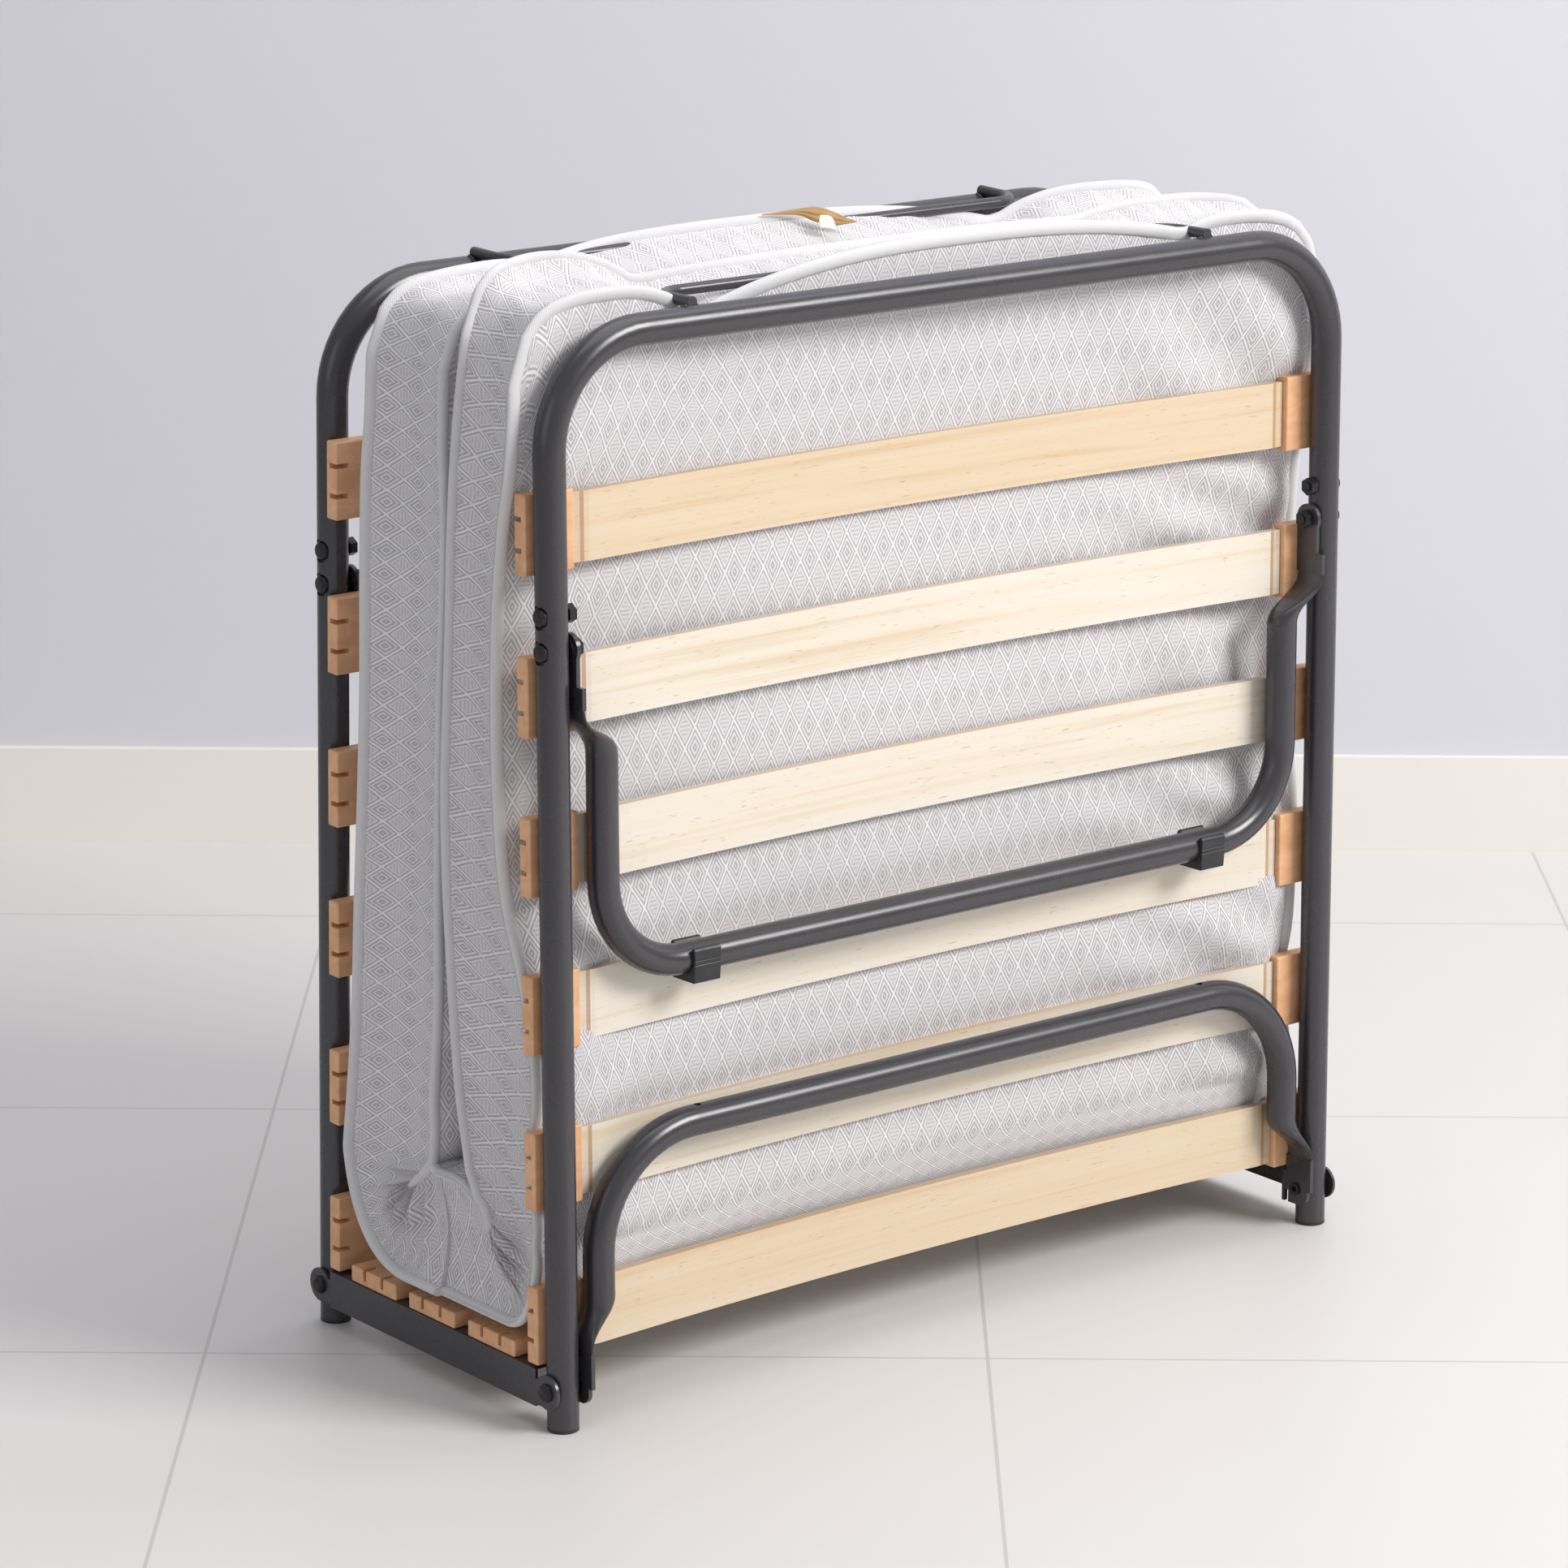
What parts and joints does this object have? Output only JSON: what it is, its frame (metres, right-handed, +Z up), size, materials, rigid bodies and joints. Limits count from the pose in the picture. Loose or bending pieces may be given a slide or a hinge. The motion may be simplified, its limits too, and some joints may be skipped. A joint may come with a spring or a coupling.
{
  "type": "folding guest bed",
  "caption": "Folding cot on a hinged tube frame with bowed slats, swing-out legs and a foam mattress folded between its halves.",
  "frame": {"origin": "on the floor, at the middle of the folded bed's footprint", "axes": "+X along the bed's width, +Y from the front half to the rear half, +Z up"},
  "size_m": [0.834, 0.345, 0.8947],
  "materials": {
    "graphite_paint": "satin",
    "black_hardware": "satin",
    "birch": "satin",
    "tan_plastic": "matte",
    "black_plastic": "satin",
    "mattress_fabric": "matte",
    "ribbon": "satin",
    "cream_tab": "matte"
  },
  "bodies": {
    "centre_section": {"left_link": "graphite_paint", "right_link": "graphite_paint", "centre_slat_1": "birch", "centre_slat_2": "birch", "centre_slat_3": "birch", "centre_slat_holders_left": "tan_plastic", "centre_slat_holders_right": "tan_plastic", "fold_rivets": "black_hardware", "centre_mattress": "mattress_fabric"},
    "front_half": {"front_frame_tube": "graphite_paint", "front_slat_holders_left": "tan_plastic", "front_slat_holders_right": "tan_plastic", "front_tube_plugs": "black_plastic", "front_mattress_hoop": "graphite_paint", "front_pivot_bolts": "black_hardware", "front_stop_bolts": "black_hardware", "front_nuts": "black_hardware", "front_washers": "black_hardware", "front_mattress": "mattress_fabric", "front_slat_1": "birch", "front_slat_2": "birch", "front_slat_3": "birch", "front_slat_4": "birch", "front_slat_5": "birch", "front_slat_6": "birch"},
    "front_end_leg": {"front_end_leg": "graphite_paint", "front_leg_glides": "black_plastic"},
    "front_mid_leg": {"front_mid_leg": "graphite_paint"},
    "rear_half": {"rear_frame_tube": "graphite_paint", "rear_slat_holders_left": "tan_plastic", "rear_slat_holders_right": "tan_plastic", "rear_tube_plugs": "black_plastic", "rear_mattress_hoop": "graphite_paint", "rear_pivot_bolts": "black_hardware", "rear_stop_bolts": "black_hardware", "rear_nuts": "black_hardware", "rear_washers": "black_hardware", "rear_mattress": "mattress_fabric", "rear_slat_1": "birch", "rear_slat_2": "birch", "rear_slat_3": "birch", "rear_slat_4": "birch", "rear_slat_5": "birch", "rear_slat_6": "birch", "mattress_tie": "ribbon", "tie_tab": "cream_tab"},
    "rear_end_leg": {"rear_end_leg": "graphite_paint", "rear_leg_glides": "black_plastic"},
    "rear_mid_leg": {"rear_mid_leg": "graphite_paint"}
  },
  "joints": [
    {"name": "front_fold", "type": "hinge", "parent": "centre_section", "child": "front_half", "pos_m": [0, -0.1545, 0.033], "axis": [1, 0, 0], "range_deg": [0, 91]},
    {"name": "front_end_leg_swing", "type": "hinge", "parent": "front_half", "child": "front_end_leg", "pos_m": [0, -0.14434, 0.61491], "axis": [-1, 0, 0], "range_deg": [0, 136]},
    {"name": "front_mid_leg_swing", "type": "hinge", "parent": "front_half", "child": "front_mid_leg", "pos_m": [0, -0.1545, 0.033], "axis": [1, 0, 0], "range_deg": [0, 90]},
    {"name": "rear_fold", "type": "hinge", "parent": "centre_section", "child": "rear_half", "pos_m": [0, 0.1545, 0.033], "axis": [-1, 0, 0], "range_deg": [0, 91]},
    {"name": "rear_end_leg_swing", "type": "hinge", "parent": "rear_half", "child": "rear_end_leg", "pos_m": [0, 0.14434, 0.61491], "axis": [1, 0, 0], "range_deg": [0, 136]},
    {"name": "rear_mid_leg_swing", "type": "hinge", "parent": "rear_half", "child": "rear_mid_leg", "pos_m": [0, 0.1545, 0.033], "axis": [-1, 0, 0], "range_deg": [0, 90]}
  ]
}
